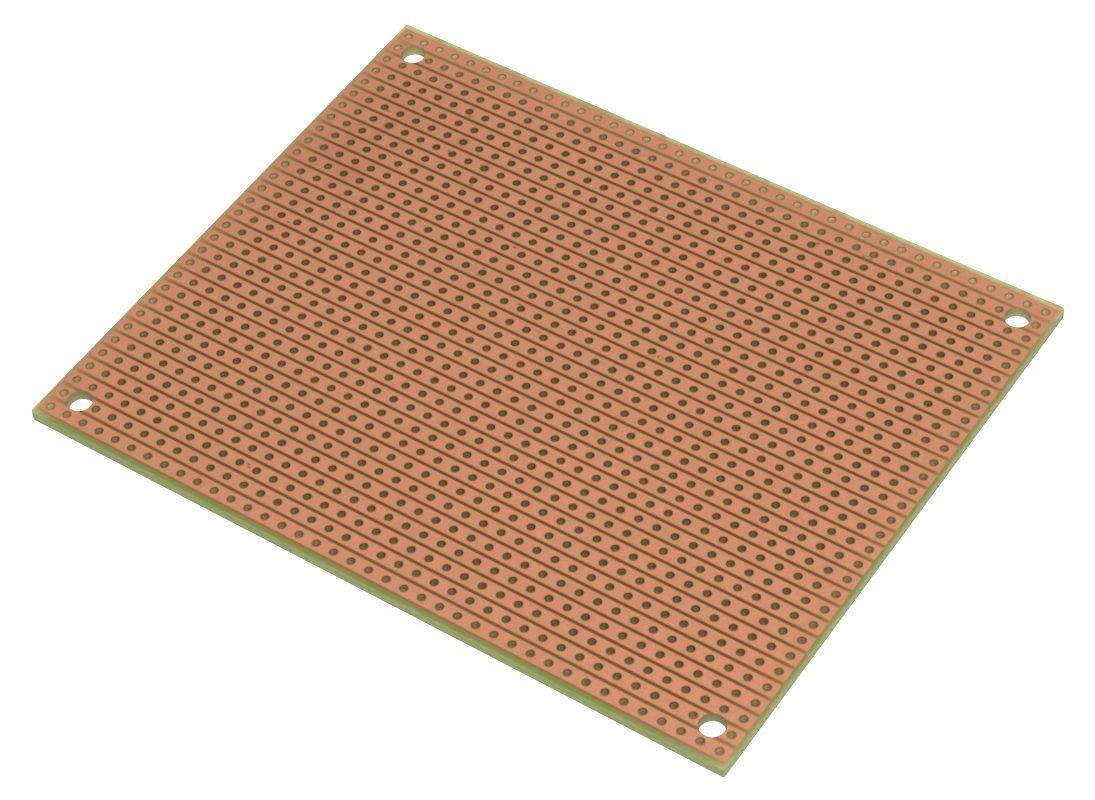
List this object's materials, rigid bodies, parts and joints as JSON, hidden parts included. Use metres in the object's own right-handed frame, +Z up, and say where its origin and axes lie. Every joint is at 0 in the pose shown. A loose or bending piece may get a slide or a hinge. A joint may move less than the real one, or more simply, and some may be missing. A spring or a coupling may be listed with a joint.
{
  "type": "stripboard prototype board",
  "caption": "Bare rectangular prototype board: drilled glass-epoxy laminate with parallel copper strips along the rows of lead holes and a mounting hole near each corner.",
  "frame": {"origin": "centre of the board's bare underside, on the plane that it lies on", "axes": "+X along the copper strips, +Y across them, +Z up out of the copper face"},
  "size_m": [0.1, 0.08, 0.0016],
  "materials": {
    "laminate": "satin",
    "copper": "matte"
  },
  "bodies": {
    "root": {"base_laminate": "laminate", "copper_strip_01": "copper", "copper_strip_02": "copper", "copper_strip_03": "copper", "copper_strip_04": "copper", "copper_strip_05": "copper", "copper_strip_06": "copper", "copper_strip_07": "copper", "copper_strip_08": "copper", "copper_strip_09": "copper", "copper_strip_10": "copper", "copper_strip_11": "copper", "copper_strip_12": "copper", "copper_strip_13": "copper", "copper_strip_14": "copper", "copper_strip_15": "copper", "copper_strip_16": "copper", "copper_strip_17": "copper", "copper_strip_18": "copper", "copper_strip_19": "copper", "copper_strip_20": "copper", "copper_strip_21": "copper", "copper_strip_22": "copper", "copper_strip_23": "copper", "copper_strip_24": "copper", "copper_strip_25": "copper", "copper_strip_26": "copper", "copper_strip_27": "copper", "copper_strip_28": "copper", "copper_strip_29": "copper", "copper_strip_30": "copper", "copper_strip_31": "copper", "copper_strip_02_left_end": "copper", "copper_strip_02_right_end": "copper", "copper_strip_30_left_end": "copper", "copper_strip_30_right_end": "copper"}
  },
  "joints": []
}
